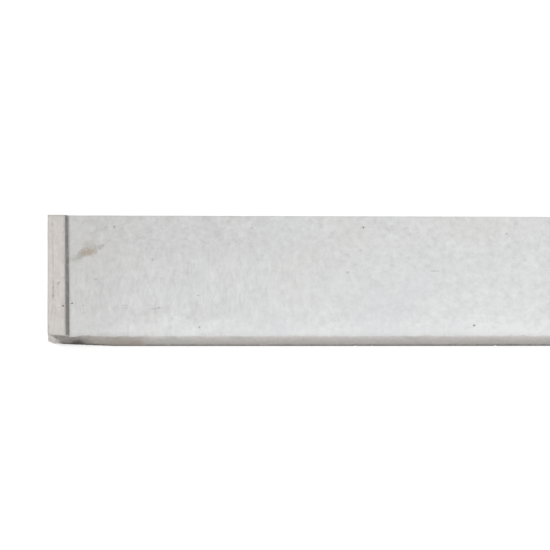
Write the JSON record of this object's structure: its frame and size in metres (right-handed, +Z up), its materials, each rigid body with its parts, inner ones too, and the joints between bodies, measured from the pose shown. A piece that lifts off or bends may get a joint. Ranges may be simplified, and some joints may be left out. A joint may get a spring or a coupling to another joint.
{
  "type": "concrete gravel board",
  "caption": "Long flat precast concrete board for the foot of a fence, with thicker end strips that slide into slotted posts and a shallow recessed face between them.",
  "frame": {"origin": "middle of the flat back, on the floor that the board lies on", "axes": "+X along the board, +Y across it to the edge that is uppermost in a fence, +Z up out of the recessed cast face"},
  "size_m": [1.83, 0.305, 0.05],
  "materials": {
    "concrete": "pale grey cast concrete, matt and smooth from the mould on the face, with pinholes, faint streaks and dirty edges, and floated on the back"
  },
  "bodies": {
    "root": {"gravel_board": "concrete"}
  },
  "joints": []
}
